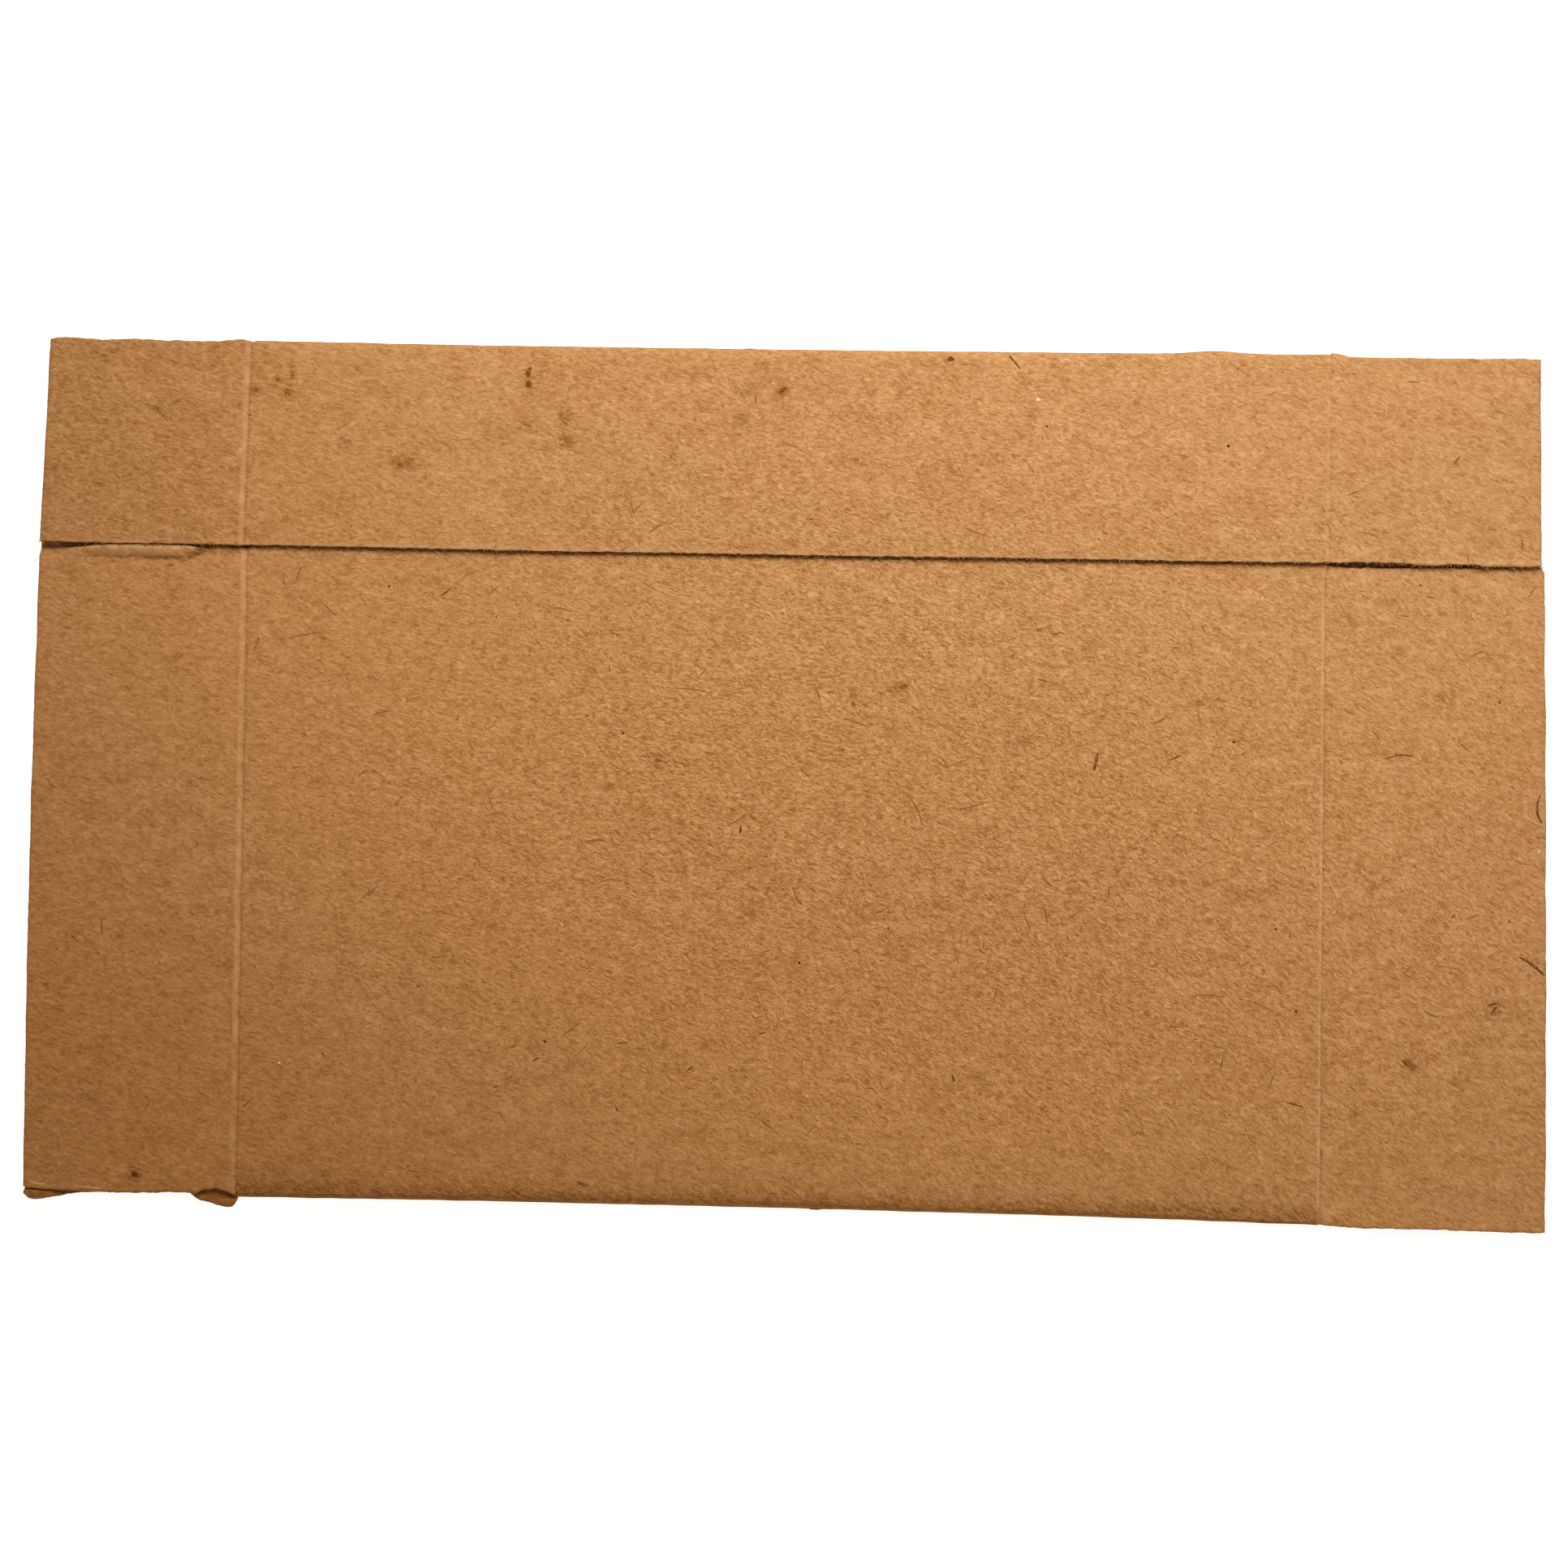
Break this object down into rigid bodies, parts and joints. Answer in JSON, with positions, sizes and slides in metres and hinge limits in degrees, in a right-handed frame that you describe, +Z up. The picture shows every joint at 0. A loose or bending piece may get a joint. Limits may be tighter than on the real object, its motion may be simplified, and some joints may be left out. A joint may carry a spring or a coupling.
{
  "type": "flattened cardboard box",
  "caption": "Small folding carton of solid kraft board, knocked flat: a creased sleeve with a lap-glued seam and end flaps that lie in two layers and lift at their creases.",
  "frame": {"origin": "centre of the flattened sleeve, on the surface that the rear layer lies on", "axes": "+X along the sleeve towards the right-hand flaps, +Y across the panels towards the seam, +Z up through the layers"},
  "size_m": [0.1515, 0.0875, 0.0023],
  "materials": {
    "kraft_board": "matte brown recycled kraft, felted, with specks and stains"
  },
  "bodies": {
    "sleeve": {"sleeve": "kraft_board"},
    "left_main_flap": {"left_main_flap": "kraft_board"},
    "right_main_flap": {"right_main_flap": "kraft_board"},
    "left_side_flap": {"left_side_flap": "kraft_board"},
    "right_side_flap": {"right_side_flap": "kraft_board"}
  },
  "joints": [
    {"name": "left_main_crease", "type": "hinge", "parent": "sleeve", "child": "left_main_flap", "pos_m": [-0.054, 0, 0.0016], "axis": [0, 1, 0], "range_deg": [0, 170]},
    {"name": "right_main_crease", "type": "hinge", "parent": "sleeve", "child": "right_main_flap", "pos_m": [0.054, 0, 0.0016], "axis": [0, -1, 0], "range_deg": [0, 170]},
    {"name": "left_side_crease", "type": "hinge", "parent": "sleeve", "child": "left_side_flap", "pos_m": [-0.054, 0.032, 0.0023], "axis": [0, 1, 0], "range_deg": [0, 170]},
    {"name": "right_side_crease", "type": "hinge", "parent": "sleeve", "child": "right_side_flap", "pos_m": [0.054, 0.032, 0.0023], "axis": [0, -1, 0], "range_deg": [0, 170]}
  ]
}
